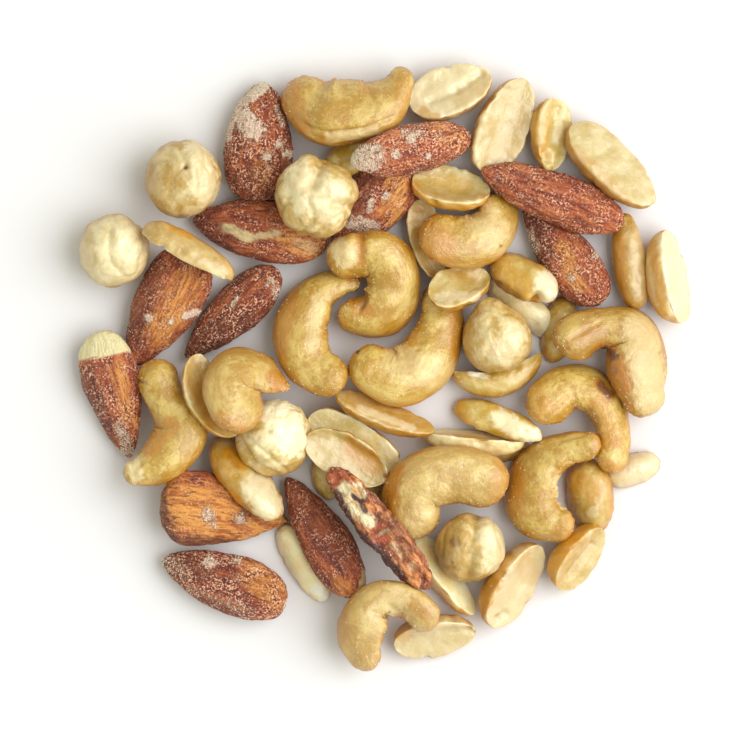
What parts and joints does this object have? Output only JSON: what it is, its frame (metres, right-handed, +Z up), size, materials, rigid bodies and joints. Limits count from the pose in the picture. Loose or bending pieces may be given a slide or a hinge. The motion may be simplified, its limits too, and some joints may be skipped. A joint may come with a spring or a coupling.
{
  "type": "heap of mixed nuts",
  "caption": "Loose, low, round heap of mixed nuts lying on a flat surface: cashews, almonds in their skins, blanched hazelnuts, peanut halves and pecan.",
  "frame": {"origin": "middle of the flat underside, below the middle of the heap's bounding box", "axes": "+Z up from the surface that the heap lies on; seen from above, +X to the right and +Y away from the viewer"},
  "size_m": [0.1044, 0.1036, 0.0186],
  "materials": {
    "cashew": "dry roasted, satin, finely wrinkled",
    "almond": "dry skin with lengthwise ridges, dusted with salt",
    "hazelnut": "blanched and bare, slightly waxy",
    "peanut": "blanched and roasted, slightly glossy",
    "pecan": "furrowed skin with a pale break",
    "salt": "small white grains"
  },
  "bodies": {
    "root": {"nut_heap": "peanut"}
  },
  "joints": []
}
